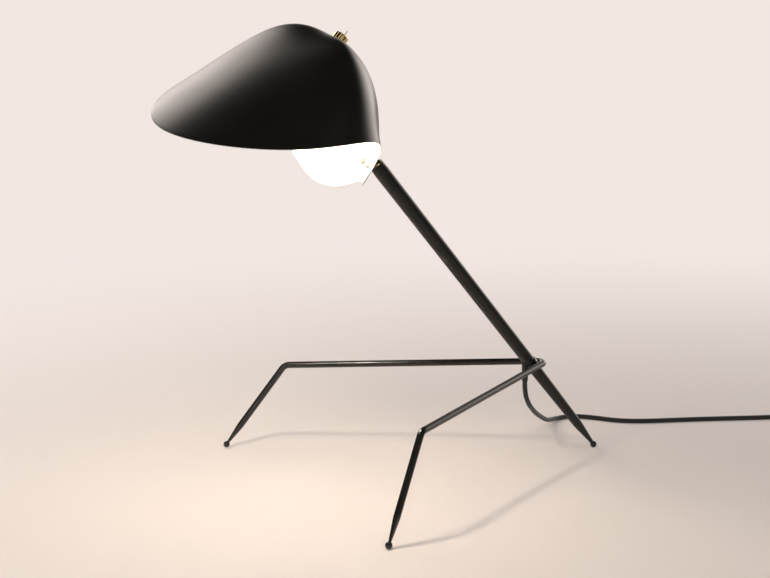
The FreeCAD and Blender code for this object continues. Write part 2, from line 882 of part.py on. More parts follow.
def plug_body(end, heading):
    """The flat two-pin plug's moulded body, lying on its broad side."""
    rear = plug_rear_width / 2
    front = plug_front_width / 2
    shoulder = plug_shoulder_share * plug_length
    outline = [
        (0, -rear + plug_edge / 2), (plug_edge, -rear), (shoulder, -front), (plug_length, -front),
        (plug_length, front), (shoulder, front), (plug_edge, rear), (0, rear - plug_edge / 2),
    ]
    points = [V(along, across, 0) for along, across in outline]
    body = Part.Face(Part.makePolygon(points + points[:1])).extrude(V(0, 0, plug_thickness))
    long_edges = [edge for edge in body.Edges if abs(edge.BoundBox.ZLength) < plug_edge / 2
                  and edge.BoundBox.XMin < plug_length - plug_edge]
    body = body.makeFillet(plug_edge, long_edges)
    root = end + heading * relief_length
    body.Placement = FreeCAD.Placement(V(root.x, root.y, 0), FreeCAD.Rotation(V(1, 0, 0), heading))
    return body


def plug_pins(end, heading):
    """The two round pins, as one pair."""
    root = end + heading * (relief_length + plug_length)
    across = V(-heading.y, heading.x, 0) * (pin_spacing / 2)
    pins = []
    for side in (1, -1):
        start = root + across * side
        barrel = bar(start, start + heading * (pin_length - pin_dia / 2), pin_dia)
        pins.append(barrel.fuse(Part.makeSphere(pin_dia / 2, start + heading * (pin_length - pin_dia / 2))))
    return Part.makeCompound(pins)


def stand_nodes():
    """The pieces that stay where the lamp stands."""
    frame = leg_frame()
    tip = arm_tip()
    sleeve = cord_sleeve()
    feet = [foot_ball(foot_centre(side), frame) for side in (1, -1)]
    return {
        "leg_frame": frame,
        "leg_feet": Part.makeCompound(feet),
        "arm_tube": arm_tube(),
        "arm_tip": tip,
        "arm_foot": foot_ball(arm_foot_centre, tip),
        "braze_collar": braze_collar(frame, sleeve),
        "cord_sleeve": sleeve,
        "arm_cable": arm_cable(),
        "stop_ring": stop_ring(),
        "seat_bush": seat_bush(),
    }


def head_nodes():
    """The pieces that move with the ball and the shade, in the shade's frame."""
    shell = shade_shell()
    outer_wedge, inner_wedge = wedges(shell)
    return {
        "ball_stud": ball_stud(),
        "stud_washer": stud_washer(),
        "stud_nut": stud_nut(),
        "shade_shell": shell,
        "outer_wedge": outer_wedge,
        "inner_wedge": inner_wedge,
        "switch_nut": switch_nut(),
        "switch_bushing": switch_bushing(),
        "switch_lever": switch_lever(),
        "switch_washer": switch_washer(shell),
        "switch_body": switch_body(),
        "switch_terminals": switch_terminals(),
        "holder_cap": holder_cap(),
        "holder_body": holder_body(),
        "screw_shell": screw_shell(),
        "holder_contact": disc(holder_contact_dia, contact_top, bulb_top),
        "bulb_contact": disc(bulb_contact_dia, bulb_top, insulator_top),
        "bulb_insulator": disc(bulb_insulator_dia, insulator_top, bulb_cap_top),
        "bulb_cap": disc(bulb_cap_dia, bulb_cap_top, glass_top),
        "bulb_glass": bulb_glass(),
        "bulb_stem": disc(bulb_stem_dia, glass_top, glass_top + bulb_stem_length),
        "filament": filament(),
        "shade_lead": shade_lead(),
    }


def main():
    """Build every piece, set the origin under the lamp's middle and write the files."""
    nodes = stand_nodes()
    for name, shape in head_nodes().items():
        placed = shape.copy()
        placed.Placement = in_lamp.multiply(shape.Placement)
        nodes[name] = placed
    outline = Part.makeCompound(list(nodes.values())).optimalBoundingBox(False, False)
    to_origin = V(0, -(outline.YMin + outline.YMax) / 2, 0)

    stretch, coil, lead, lead_end, plug_heading = floor_cord()
    nodes["power_cord"] = stretch
    nodes["cord_coil"] = coil
    nodes["plug_lead"] = lead
    nodes["plug_relief"] = plug_relief(lead_end, plug_heading)
    nodes["plug_body"] = plug_body(lead_end, plug_heading)
    nodes["plug_pins"] = plug_pins(lead_end, plug_heading)

    os.makedirs("parts", exist_ok=True)
    for name, shape in nodes.items():
        placed = shape.copy()
        placed.translate(to_origin)
        placed.exportStep("parts/%s.step" % name)

    side_axis = shade_rotation.multVec(V(1, 0, 0))
    stud_axis = shade_rotation.multVec(into_shade)
    lever_pivot = in_lamp.multVec(crown + out_of_crown * lever_pivot_height)
    print("outline %.1f %.1f %.1f to %.1f %.1f %.1f" % (
        outline.XMin, outline.YMin + to_origin.y, outline.ZMin,
        outline.XMax, outline.YMax + to_origin.y, outline.ZMax))
    for name, point in (("ball centre", ball_centre), ("lever pivot", lever_pivot)):
        print("%s %.5f %.5f %.5f" % (name, *((point + to_origin) / 1000)))
    for name, axis in (("arm axis", up_arm), ("side axis", side_axis), ("stud axis", stud_axis)):
        print("%s %.6f %.6f %.6f" % (name, *axis))


main()
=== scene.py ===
import json
import math

import bpy
import numpy as np
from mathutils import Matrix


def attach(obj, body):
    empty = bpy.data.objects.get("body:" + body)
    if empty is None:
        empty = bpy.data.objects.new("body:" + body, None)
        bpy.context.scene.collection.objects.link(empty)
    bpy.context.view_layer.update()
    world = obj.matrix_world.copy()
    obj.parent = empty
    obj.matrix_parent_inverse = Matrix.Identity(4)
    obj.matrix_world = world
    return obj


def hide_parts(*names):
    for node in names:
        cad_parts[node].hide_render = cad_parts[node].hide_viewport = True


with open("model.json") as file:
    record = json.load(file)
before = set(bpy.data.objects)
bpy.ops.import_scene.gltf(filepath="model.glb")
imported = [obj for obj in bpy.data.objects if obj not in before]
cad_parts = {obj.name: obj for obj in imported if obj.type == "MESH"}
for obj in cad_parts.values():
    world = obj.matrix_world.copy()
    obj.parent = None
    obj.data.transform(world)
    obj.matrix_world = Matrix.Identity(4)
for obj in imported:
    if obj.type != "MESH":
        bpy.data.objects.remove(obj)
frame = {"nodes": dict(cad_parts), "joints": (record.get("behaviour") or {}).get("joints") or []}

nodes = frame["nodes"]
joints = {joint["name"]: joint for joint in frame["joints"]}
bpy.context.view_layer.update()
scene = bpy.context.scene
scene.view_settings.view_transform = "Standard"

# Camera: to the lamp's right and in front of it, a little higher than the shade, looking down at the desk.
camera_data = bpy.data.cameras.new("camera")
camera_data.sensor_width = 36.0
camera_data.lens = 82.131
camera_data.shift_x = 0.00688
camera_data.shift_y = -0.0005
camera_data.clip_start = 0.05
camera_data.clip_end = 200.0
camera = bpy.data.objects.new("camera", camera_data)
camera.location = (1.7532, -0.9386, 0.6161)
camera.rotation_euler = (math.radians(79.0), 0.0, math.radians(62.04))
scene.collection.objects.link(camera)
scene.camera = camera


# Power cord: a round flex in a black braided cover, 1.74 m long. It leaves the sleeve under the arm, curls
# down to the desk behind the lamp and runs off to the right, where its spare length is wound in a coil.
CORD_DIA = 0.006
CORD_STEP = 0.0017
CORD_SIDES = 20
STAND_BACK = np.array([0.0, 0.20062, 0.0])
CORD_LYING = CORD_DIA / 2
SLEEVE_Y = -0.0085
CORD_ROUTE = [
    (0.0, SLEEVE_Y, 0.098),
    (0.0, SLEEVE_Y, 0.084),
    (-0.007, 0.001, 0.067),
    (-0.024, 0.020, 0.051),
    (-0.053, 0.048, 0.034),
    (-0.094, 0.087, 0.013),
    (-0.127, 0.120, CORD_LYING),
    (-0.129, 0.149, CORD_LYING),
    (-0.107, 0.171, CORD_LYING),
    (-0.079, 0.189, CORD_LYING),
    (-0.060, 0.221, CORD_LYING),
    (-0.044, 0.267, CORD_LYING),
    (-0.023, 0.320, CORD_LYING),
    (-0.001, 0.372, CORD_LYING),
]
COIL_CENTRE = np.array([0.066, 0.466, CORD_LYING])
COIL_HEADING = 80.0
COIL_PITCH = 0.0066
COIL_RADIUS = 0.033 + COIL_PITCH * 5 / 4
# After each half turn the radius changes by so many half pitches: inward below, outward above.
COIL_STEPS = [-1] * 5 + [1] * 4 + [0]
COIL_CLIMB_TURN = 5
COIL_POINTS = 12
COIL_APPROACH = 0.035
LEAD_LEVEL = 0.038
LEAD_RUN = 0.026
LEAD_TURN = -10.0
PLUG_THICKNESS = 0.0136
BRAID_PITCH = 0.0024
BRAID_STRANDS = 8


def level_heading(degrees):
    """A level direction, turned from +X by an angle."""
    return np.array([math.cos(math.radians(degrees)), math.sin(math.radians(degrees)), 0.0])


def coil_points(centre, radius, side, heading):
    """The coil's points, and where it leaves and in which direction.

    A half turn's points are centre + r/cos(pi/2n) (cos a side + sin a heading), with a spread evenly over
    the half turn. The radius changes by half a pitch from one to the next, so the turns lie side by side.
    """
    points = []
    angles = np.pi * (np.arange(COIL_POINTS) + 0.5) / COIL_POINTS
    reach = 1 / math.cos(math.pi / COIL_POINTS / 2)
    for turn, step in enumerate(COIL_STEPS):
        climb = COIL_PITCH if turn == COIL_CLIMB_TURN else 0.0
        spokes = np.outer(np.cos(angles), side) + np.outer(np.sin(angles), heading)
        ring = centre + radius * reach * spokes
        ring[:, 2] += climb * (1 - np.cos(angles)) / 2
        points.append(ring)
        end = centre - side * radius + np.array([0.0, 0.0, climb])
        side, heading = -side, -heading
        radius += step * COIL_PITCH / 2
        centre = end - side * radius
    return np.concatenate(points), end + heading * CORD_DIA, heading


def even_line(points, step):
    """Points of the smooth line that a row of control points draws, at even steps along it."""
    curve = bpy.data.curves.new("line", "CURVE")
    curve.dimensions = "3D"
    curve.resolution_u = 16
    spline = curve.splines.new("NURBS")
    spline.points.add(len(points) - 1)
    spline.points.foreach_set("co", np.column_stack([points, np.ones(len(points))]).ravel())
    spline.order_u = 3
    spline.use_endpoint_u = True
    holder = bpy.data.objects.new("line", curve)
    mesh = bpy.data.meshes.new_from_object(holder)
    line = np.zeros(len(mesh.vertices) * 3)
    mesh.vertices.foreach_get("co", line)
    line = line.reshape(-1, 3)
    bpy.data.objects.remove(holder)
    bpy.data.curves.remove(curve)
    bpy.data.meshes.remove(mesh)
    stations = np.append(0.0, np.cumsum(np.linalg.norm(np.diff(line, axis=0), axis=1)))
    count = max(2, round(stations[-1] / step))
    wanted = np.linspace(0.0, stations[-1], count + 1)
    return np.column_stack([np.interp(wanted, stations, line[:, axis]) for axis in range(3)])


def skin(name, grid, loop=False, stations=None, crease=35.0):
    """A closed mesh over a grid of points, with rows along the piece and columns round it.

    Columns always join into rings. The rows join into a loop, or each end is closed by a fan to the middle
    of its ring. The UV map holds the row's station and the share of the way round.
    """
    rows, columns, _ = grid.shape
    last = rows if loop else rows - 1
    row, column = np.meshgrid(np.arange(last), np.arange(columns), indexing="ij")
    after, right = (row + 1) % rows, (column + 1) % columns
    quads = np.stack([
        row * columns + column, row * columns + right,
        after * columns + right, after * columns + column,
    ], axis=-1).reshape(-1, 4)
    points = grid.reshape(-1, 3)
    corners = [quads.ravel()]
    sizes = [np.full(len(quads), 4)]
    along = np.arange(rows + 1.0) if stations is None else np.append(stations, stations[-1])
    share = np.stack([column, column + 1, column + 1, column], axis=-1) / columns
    places = np.stack([along[row], along[row], along[row + 1], along[row + 1]], axis=-1)
    maps = [np.stack([places, share], axis=-1).reshape(-1, 2)]
    if not loop:
        first = np.arange(columns)
        second = (first + 1) % columns
        for ring, flip in ((0, True), (rows - 1, False)):
            middle = np.full(columns, len(points))
            points = np.vstack([points, grid[ring].mean(axis=0)])
            fan = [first + ring * columns, second + ring * columns, middle]
            fan = np.stack(fan[::-1] if flip else fan, axis=-1)
            corners.append(fan.ravel())
            sizes.append(np.full(columns, 3))
            maps.append(np.stack([np.full(fan.size, along[ring]), np.zeros(fan.size)], axis=-1))
    corners, sizes, maps = np.concatenate(corners), np.concatenate(sizes), np.concatenate(maps)
    starts = np.append(0, np.cumsum(sizes)[:-1])
    faces = [corners[start:start + size] for start, size in zip(starts, sizes)]
    mesh = bpy.data.meshes.new(name)
    mesh.from_pydata(points, [], faces)
    mesh.uv_layers.new(name="UVMap").data.foreach_set("uv", maps.ravel().astype(np.float32))
    thirds = points[np.stack([corners[starts], corners[starts + 1], corners[starts + 2]], axis=-1)]
    fourths = points[corners[starts + sizes - 1]]
    volume = np.einsum("ij,ij->", thirds[:, 0], np.cross(thirds[:, 1], thirds[:, 2]))
    volume += np.einsum("ij,ij->", thirds[:, 0], np.cross(thirds[:, 2], fourths))
    if volume < 0:
        mesh.flip_normals()
    mesh.shade_smooth()
    mesh.set_sharp_from_angle(angle=math.radians(crease))
    piece = bpy.data.objects.new(name, mesh)
    scene.collection.objects.link(piece)
    return piece


def tube(name, line, dia, sides, aside=(-0.35, 0.35, 0.87)):
    """A round tube along a line, of rings that lie across it.

    Each ring's columns are counted from the side that is square to the line and to aside, a direction that
    the line never takes.
    """
    heading = np.gradient(line, axis=0)
    heading /= np.linalg.norm(heading, axis=1)[:, None]
    side = np.cross(heading, aside)
    side /= np.linalg.norm(side, axis=1)[:, None]
    up = np.cross(side, heading)
    angles = 2 * np.pi * np.arange(sides) / sides
    cos, sin = np.cos(angles)[None, :, None], np.sin(angles)[None, :, None]
    rings = cos * side[:, None, :] + sin * up[:, None, :]
    stations = np.append(0.0, np.cumsum(np.linalg.norm(np.diff(line, axis=0), axis=1)))
    return skin(name, line[:, None, :] + rings * dia / 2, stations=stations)


class Link:
    """A socket of a finish. Python's operators on it add Math nodes."""

    def __init__(self, finish, socket):
        self.finish = finish
        self.socket = socket

    def maths(self, operation, *values):
        """A Math node of these values, which are numbers or links."""
        return self.finish.node("ShaderNodeMath", {"operation": operation}, dict(enumerate(values)))

    def __add__(self, other):
        return self.maths("ADD", self, other)

    def __radd__(self, other):
        return self.maths("ADD", other, self)

    def __sub__(self, other):
        return self.maths("SUBTRACT", self, other)

    def __rsub__(self, other):
        return self.maths("SUBTRACT", other, self)

    def __mul__(self, other):
        return self.maths("MULTIPLY", self, other)

    def __rmul__(self, other):
        return self.maths("MULTIPLY", other, self)


class Finish:
    """A material or the world: its node tree, and the shader's sockets set by name."""

    def __init__(self, name, kind=bpy.data.materials, **constants):
        self.made = kind.new(name)
        self.made.use_nodes = True
        self.tree = self.made.node_tree
        self.shader = self.tree.nodes.get("Principled BSDF")
        self.place = self.node("ShaderNodeTexCoord", outlet="Object")
        for socket, value in constants.items():
            self.put(socket.replace("_", " "), value)

    def join(self, socket, value):
        """Give a socket a link, a number, a vector or a colour."""
        if isinstance(value, Link):
            self.tree.links.new(value.socket, socket)
        elif hasattr(value, "__len__") and len(value) < len(socket.default_value):
            socket.default_value = (*value, 1.0)
        else:
            socket.default_value = value

    def put(self, socket, value):
        """Set one of the shader's own sockets."""
        self.join(self.shader.inputs[socket], value)

    def node(self, kind, settings=(), inlets=(), outlet=0):
        """A node: its settings are made first, then its sockets get their values or links."""
        node = self.tree.nodes.new(kind)
        for name, value in dict(settings).items():
            setattr(node, name, value)
        for socket, value in dict(inlets).items():
            self.join(node.inputs[socket], value)
        return Link(self, node.outputs[outlet])

    def noise(self, size, detail=2.0, stretch=(1.0, 1.0, 1.0)):
        """Soft noise from 0 to 1, with lumps of about a size in metres."""
        place = self.node("ShaderNodeMapping", {}, {"Vector": self.place, "Scale": stretch})
        return self.node("ShaderNodeTexNoise", {}, {"Vector": place, "Scale": 1 / size, "Detail": detail})

    def between(self, value, low, high):
        """A smooth step from 0 to 1, as a value goes from low to high."""
        return self.node(
            "ShaderNodeMapRange", {"interpolation_type": "SMOOTHSTEP"},
            {"Value": value, "From Min": low, "From Max": high})

    def blend(self, share, first, second):
        """One colour turning into another."""
        return self.node("ShaderNodeMix", {"data_type": "RGBA"}, {0: share, 6: first, 7: second}, 2)

    def mix(self, share, first, second):
        """One shader turning into another."""
        return self.node("ShaderNodeMixShader", {}, {0: share, 1: first, 2: second})

    def ray(self, kind):
        """1 for rays of one kind, such as Camera or Glossy, and 0 for the rest."""
        return self.node("ShaderNodeLightPath", outlet="Is " + kind + " Ray")

    def apart(self, vector, axis):
        """One of a vector's three numbers."""
        return self.node("ShaderNodeSeparateXYZ", {}, {0: vector}, axis)

    def measure(self, operation, first, second):
        """The number that two vectors make: their dot product or their distance."""
        return self.node(
            "ShaderNodeVectorMath", {"operation": operation}, {0: first, 1: second}, "Value")

    def along(self, direction):
        """How far a point lies along a direction, in metres."""
        return self.measure("DOT_PRODUCT", self.place, direction)

    def relief(self, height, depth):
        """A bump of a depth in metres, where height goes from 0 to 1."""
        self.put("Normal", self.node("ShaderNodeBump", {}, {"Height": height, "Distance": depth}))


def dress(finish, *names):
    """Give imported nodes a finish."""
    for name in names:
        nodes[name].material_slots[0].material = finish.made


def braided_cover():
    """Black yarn braided over the flex: two sets of strands that cross, one over the other."""
    finish = Finish("braided_cover", Sheen_Weight=0.25, Sheen_Roughness=0.5, Specular_IOR_Level=0.25)
    chart = finish.node("ShaderNodeTexCoord", outlet="UV")
    along = finish.apart(chart, "X") * (2 * math.pi / BRAID_PITCH)
    around = finish.apart(chart, "Y") * (2 * math.pi * BRAID_STRANDS)
    rising, falling = along + around, along - around
    weave = rising.maths("SINE", rising) * falling.maths("SINE", falling)
    strand = finish.between(weave, -0.7, 0.7)
    fibre = finish.noise(0.0004, 3.0)
    yarn = strand * 0.7 + fibre * 0.3
    finish.put("Base Color", finish.blend(yarn, (0.008, 0.008, 0.008), (0.030, 0.029, 0.028)))
    finish.put("Roughness", 0.62 + 0.2 * fibre)
    finish.relief(strand * 0.8 + fibre * 0.2, 0.00018)
    return finish


entry_side = level_heading(COIL_HEADING + 90.0)
entry_heading = level_heading(COIL_HEADING)
entry = COIL_CENTRE + entry_side * COIL_RADIUS - entry_heading * CORD_DIA
coil, leaving, out_heading = coil_points(COIL_CENTRE, COIL_RADIUS, entry_side, entry_heading)
lead_level_end = leaving + out_heading * LEAD_LEVEL
lead_low = lead_level_end + level_heading(COIL_HEADING + LEAD_TURN) * LEAD_RUN
lead_low[2] = PLUG_THICKNESS / 2
plug_heading = level_heading(COIL_HEADING + 2 * LEAD_TURN)
lead_end = lead_low + plug_heading * LEAD_RUN
cord_points = np.vstack([
    CORD_ROUTE, entry - entry_heading * COIL_APPROACH, entry, coil,
    leaving, lead_level_end, lead_low, lead_end])
cord_line = even_line(cord_points + STAND_BACK, CORD_STEP)
flex = tube("flex", cord_line, CORD_DIA, CORD_SIDES)
flex.data.materials.append(braided_cover().made)
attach(flex, "stand")
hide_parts("power_cord", "cord_coil", "plug_lead")


# Plug: a flat two-pin plug moulded in black PVC on the end of the cord, with grip ridges on its broad
# sides, a grooved strain relief behind it and two nickel-plated pins sleeved in plastic at the root.
RELIEF_LENGTH = 0.032
RELIEF_ROOT_DIA = 0.0105
RELIEF_END_DIA = 0.0074
RELIEF_GROOVES = 7
RELIEF_GROOVE_DEPTH = 0.0007
RELIEF_END_ROUND = 0.0006
PLUG_LENGTH = 0.034
PLUG_REAR_WIDTH = 0.015
PLUG_FRONT_WIDTH = 0.027
PLUG_SQUARENESS = 4.2
PLUG_TAPER_SHARE = 0.62
PLUG_REAR_ROUND, PLUG_REAR_SHARE = 0.0022, 0.07
PLUG_FRONT_ROUND, PLUG_FRONT_SHARE = 0.0010, 0.04
PLUG_RIDGES = 6
PLUG_RIDGE_DEPTH = 0.0006
PLUG_RIDGES_START, PLUG_RIDGES_END = 0.12, 0.62
PIN_SLEEVE = 0.009
PIN_SLEEVE_EDGE = 0.0002


def moulded_rubber(name, colour, roughness):
    """Moulded black plastic or rubber: a fine even grain, a little dusty."""
    finish = Finish(name, Specular_IOR_Level=0.35)
    grain = finish.noise(0.00035, 2.0)
    dust = finish.noise(0.012, 3.0)
    pale = tuple(channel * 1.9 + 0.004 for channel in colour)
    finish.put("Base Color", finish.blend(finish.between(dust, 0.35, 0.75), colour, pale))
    finish.put("Roughness", roughness + 0.12 * dust)
    finish.relief(grain, 0.00004)
    return finish


def smooth_step(share):
    """Rises from 0 to 1 with level ends: 3 s^2 - 2 s^3."""
    share = np.clip(share, 0.0, 1.0)
    return share * share * (3 - 2 * share)


def quarter_round(share):
    """Rises from 0 to 1 as a quarter circle: sqrt(1 - (1 - s)^2)."""
    return np.sqrt(np.clip(1 - (1 - np.minimum(1.0, share)) ** 2, 0.0, 1.0))


def relief_grid(start, heading, side):
    """A tapered round sleeve whose radius dips in a ring groove at each of some even stations."""
    stations = np.linspace(0.0, 1.0, 97)
    radius = (RELIEF_END_DIA + (RELIEF_ROOT_DIA - RELIEF_END_DIA) * stations) / 2
    wave = 0.5 - 0.5 * np.cos(2 * np.pi * stations * RELIEF_GROOVES)
    radius = radius - RELIEF_GROOVE_DEPTH * smooth_step((wave - 0.55) / 0.35) * (stations < 0.94)
    radius[0] -= RELIEF_END_ROUND
    angles = 2 * np.pi * np.arange(40) / 40
    ring = np.outer(np.cos(angles), side) + np.outer(np.sin(angles), (0.0, 0.0, 1.0))
    middle = start + np.outer(stations * RELIEF_LENGTH, heading)
    return middle[:, None, :] + radius[:, None, None] * ring[None, :, :]


def plug_grid(start, heading, side):
    """Box sections |x/a|^n + |z/b|^n = 1 that widen from rear to front, drawn in at both ends."""
    stations = np.concatenate([
        [0.0, 0.004, 0.015, 0.04], np.linspace(0.07, 0.93, 76), [0.96, 0.985, 0.996, 1.0]])
    rear = quarter_round(stations / PLUG_REAR_SHARE)
    front = quarter_round((1 - stations) / PLUG_FRONT_SHARE)
    inset = PLUG_REAR_ROUND * (1 - rear) + PLUG_FRONT_ROUND * (1 - front)
    widening = smooth_step(stations / PLUG_TAPER_SHARE)
    width = PLUG_REAR_WIDTH + (PLUG_FRONT_WIDTH - PLUG_REAR_WIDTH) * widening
    ridges_share = (stations - PLUG_RIDGES_START) / (PLUG_RIDGES_END - PLUG_RIDGES_START)
    ridge = 0.5 - 0.5 * np.cos(2 * np.pi * ridges_share * PLUG_RIDGES)
    ridge = ridge * (stations > PLUG_RIDGES_START) * (stations < PLUG_RIDGES_END)
    angles = 2 * np.pi * np.arange(96) / 96
    power = 2 / PLUG_SQUARENESS
    across = np.sign(np.cos(angles)) * np.abs(np.cos(angles)) ** power
    upward = np.sign(np.sin(angles)) * np.abs(np.sin(angles)) ** power
    broad = smooth_step((np.abs(upward) - 0.8) / 0.18)
    sideways = (width / 2 - inset)[:, None] * across[None, :]
    lift = (PLUG_THICKNESS / 2 - inset)[:, None] * upward[None, :]
    lift = lift - PLUG_RIDGE_DEPTH * ridge[:, None] * broad[None, :] * np.sign(lift)
    middle = start + np.outer(stations * PLUG_LENGTH, heading)
    return middle[:, None, :] + sideways[..., None] * side + lift[..., None] * np.array([0.0, 0.0, 1.0])


plug_side = np.cross(plug_heading, (0.0, 0.0, 1.0))
relief_start = lead_end + STAND_BACK
plug_start = relief_start + plug_heading * RELIEF_LENGTH
plug_plastic = moulded_rubber("plug_plastic", (0.014, 0.014, 0.014), 0.42)
strain_relief = skin("strain_relief", relief_grid(relief_start, plug_heading, plug_side), crease=50.0)
plug = skin("moulded_plug", plug_grid(plug_start, plug_heading, plug_side), crease=60.0)
for piece, node in ((strain_relief, "plug_relief"), (plug, "plug_body")):
    piece.data.materials.append(plug_plastic.made)
    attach(piece, "stand")
    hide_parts(node)

pin_finish = Finish("pin_nickel", Specular_IOR_Level=0.5)
pin_root = plug_start + plug_heading * PLUG_LENGTH
pin_reach = pin_finish.along(plug_heading) - float(plug_heading @ pin_root)
pin_bare = pin_finish.between(pin_reach, PIN_SLEEVE - PIN_SLEEVE_EDGE, PIN_SLEEVE + PIN_SLEEVE_EDGE)
pin_scratch = pin_finish.noise(0.0006, 4.0, stretch=(1.0, 1.0, 6.0))
pin_finish.put("Base Color", pin_finish.blend(pin_bare, (0.016, 0.016, 0.016), (0.62, 0.60, 0.56)))
pin_finish.put("Metallic", pin_bare)
pin_finish.put("Roughness", 0.42 - 0.2 * pin_bare + 0.12 * pin_scratch)
dress(pin_finish, "plug_pins")


# Desk and light: a pale desk top that runs back into an even pale wall, soft daylight all round, a large
# soft lamp over the camera and a warmer one on the left. None of it belongs to the lamp.
FLOOR_REACH = 60.0
TOWARD_BACKDROP = (-0.8833, 0.4688, 0.0)
TO_THE_RIGHT = (0.4688, 0.8833, 0.0)
BACKDROP = (0.888, 0.800, 0.755)
HAZE_CENTRE = (0.317, 0.171, 0.0)
HAZE_START, HAZE_END = 0.2, 1.9
NEAR_START, NEAR_END = -0.30, -1.2
FAINT_GLOW = 0.010
# What the enamel mirrors: the strength of each glow, and where it begins and is full. Each edge is told by
# how far a direction points toward the backdrop, to the right, to either side or upward.
GLOWS = [
    # the wall behind the lamp, near the desk
    (1.15, ("behind", 0.55, 0.90), ("high", 0.55, 0.15)),
    # a tall bright screen on the left
    (3.6, ("aside", -0.20, -0.35), ("aside", -0.62, -0.42), ("behind", -0.10, 0.20),
     ("high", 0.93, 0.63), ("high", 0.0, 0.35)),
    # a low one on the right, further back
    (2.4, ("aside", 0.25, 0.55), ("behind", 0.25, 0.60), ("high", 0.65, 0.25)),
    # the room behind the camera
    (0.35, ("behind", -0.70, -0.92)),
    # a bright strip on each side of the camera
    (2.6, ("either side", 0.40, 0.60), ("behind", -0.50, -0.75)),
]
floor_corners = np.array([[-1, -1, 0], [1, -1, 0], [1, 1, 0], [-1, 1, 0]]) * FLOOR_REACH
floor_mesh = bpy.data.meshes.new("floor")
floor_mesh.from_pydata(floor_corners, [], [(0, 1, 2, 3)])
floor = bpy.data.objects.new("floor", floor_mesh)
scene.collection.objects.link(floor)

# Far from the lamp the desk fades into the backdrop, near the camera it mirrors as dark, and from below
# it is clear.
paper = Finish("desk_top", Roughness=0.9, Specular_IOR_Level=0.1)
paper.put("Base Color", paper.blend(paper.noise(0.4, 2.0), (0.735, 0.640, 0.585), (0.745, 0.652, 0.598)))
haze = paper.node("ShaderNodeEmission", {}, {"Color": BACKDROP, "Strength": 1.0})
dark = paper.node("ShaderNodeEmission", {}, {"Color": (0.02, 0.018, 0.016), "Strength": 1.0})
clear = paper.node("ShaderNodeBsdfTransparent")
under = paper.node("ShaderNodeNewGeometry", outlet="Backfacing")
reach = paper.measure("DISTANCE", paper.place, HAZE_CENTRE)
far = paper.between(reach, HAZE_START, HAZE_END) * paper.ray("Camera")
near = paper.between(paper.along(TOWARD_BACKDROP), NEAR_START, NEAR_END) * paper.ray("Glossy")
top = paper.mix(far, Link(paper, paper.shader.outputs[0]), haze)
top = paper.mix(under, paper.mix(near, top, dark), clear)
paper.join(paper.tree.nodes["Material Output"].inputs["Surface"], top)
floor_mesh.materials.append(paper.made)

room = Finish("room", kind=bpy.data.worlds)
sky = room.node("ShaderNodeTexCoord", outlet="Generated")
aside = room.measure("DOT_PRODUCT", sky, TO_THE_RIGHT)
directions = {
    "behind": room.measure("DOT_PRODUCT", sky, TOWARD_BACKDROP),
    "aside": aside,
    "either side": aside.maths("ABSOLUTE", aside),
    "high": room.apart(sky, "Z"),
}
glow = FAINT_GLOW
for share, *edges in GLOWS:
    for direction, start, end in edges:
        share = share * room.between(directions[direction], start, end)
    glow = glow + share
straight = room.ray("Camera") + room.ray("Transmission")
ambient = room.node("ShaderNodeBackground", {}, {"Color": (0.98, 0.99, 1.0), "Strength": 0.57})
reflected = room.node("ShaderNodeBackground", {}, {"Color": (1.0, 0.90, 0.83), "Strength": glow})
seen = room.node("ShaderNodeBackground", {}, {"Color": BACKDROP, "Strength": 1.0})
surround = room.mix(room.ray("Glossy"), ambient, reflected)
surround = room.mix(straight.maths("MINIMUM", straight, 1.0), surround, seen)
room.join(room.tree.nodes["World Output"].inputs["Surface"], surround)
scene.world = room.made


def soft_lamp(name, place, target, size, watts, colour):
    """A square studio lamp aimed at a point. It lights the scene but doesn't mirror in the enamel."""
    data = bpy.data.lights.new(name, "AREA")
    data.shape = "SQUARE"
    data.size = size
    data.energy = watts
    data.color = colour
    lamp = bpy.data.objects.new(name, data)
    lamp.visible_glossy = False
    back = np.subtract(place, target)
    lamp.location = place
    lamp.rotation_euler = (
        math.atan2(math.hypot(back[0], back[1]), back[2]), 0.0, math.atan2(back[0], -back[1]))
    scene.collection.objects.link(lamp)


soft_lamp(
    "key_lamp", place=(1.5, -1.5, 2.4), target=(0.0, 0.0, 0.2), size=1.8, watts=13.0,
    colour=(0.98, 0.99, 1.0))
soft_lamp(
    "left_lamp", place=(-1.9, -0.6, 1.3), target=(-1.0, -0.4, 0.0), size=1.2, watts=17.0,
    colour=(1.0, 0.93, 0.84))


# Legs: one 8 mm steel rod bent round the arm and down at both knees, its ends drawn to thin necks with a
# small ball on each. It is brazed to the arm's collar and stove enamelled black.
def black_enamel(name, gloss, roughness):
    """Black stove enamel: a faint ripple, and slightly brown in clouds."""
    finish = Finish(name, Specular_IOR_Level=gloss)
    ripple = finish.noise(0.0016, 2.0)
    cloud = finish.noise(0.03, 4.0)
    finish.put("Base Color", finish.blend(cloud, (0.0058, 0.0052, 0.0042), (0.0115, 0.0105, 0.0088)))
    finish.put("Roughness", roughness + 0.10 * cloud)
    finish.relief(ripple, 0.00002)
    return finish


dress(black_enamel("leg_enamel", gloss=0.5, roughness=0.15), "leg_frame", "leg_feet", "braze_collar")

# Arm: a tapered steel tube on a turned lower end with its own ball foot. It carries the cord inside up to
# the ball joint, and is enamelled like the legs but duller.
dress(black_enamel("arm_enamel", gloss=0.35, roughness=0.32), "arm_tube", "arm_tip", "arm_foot")

# Cord sleeve: a tapered sleeve moulded in black rubber, saddled to the arm's underside and plugged into its
# cord hole, which keeps the cord from kinking.
dress(moulded_rubber("sleeve_rubber", (0.012, 0.012, 0.012), 0.55), "cord_sleeve")

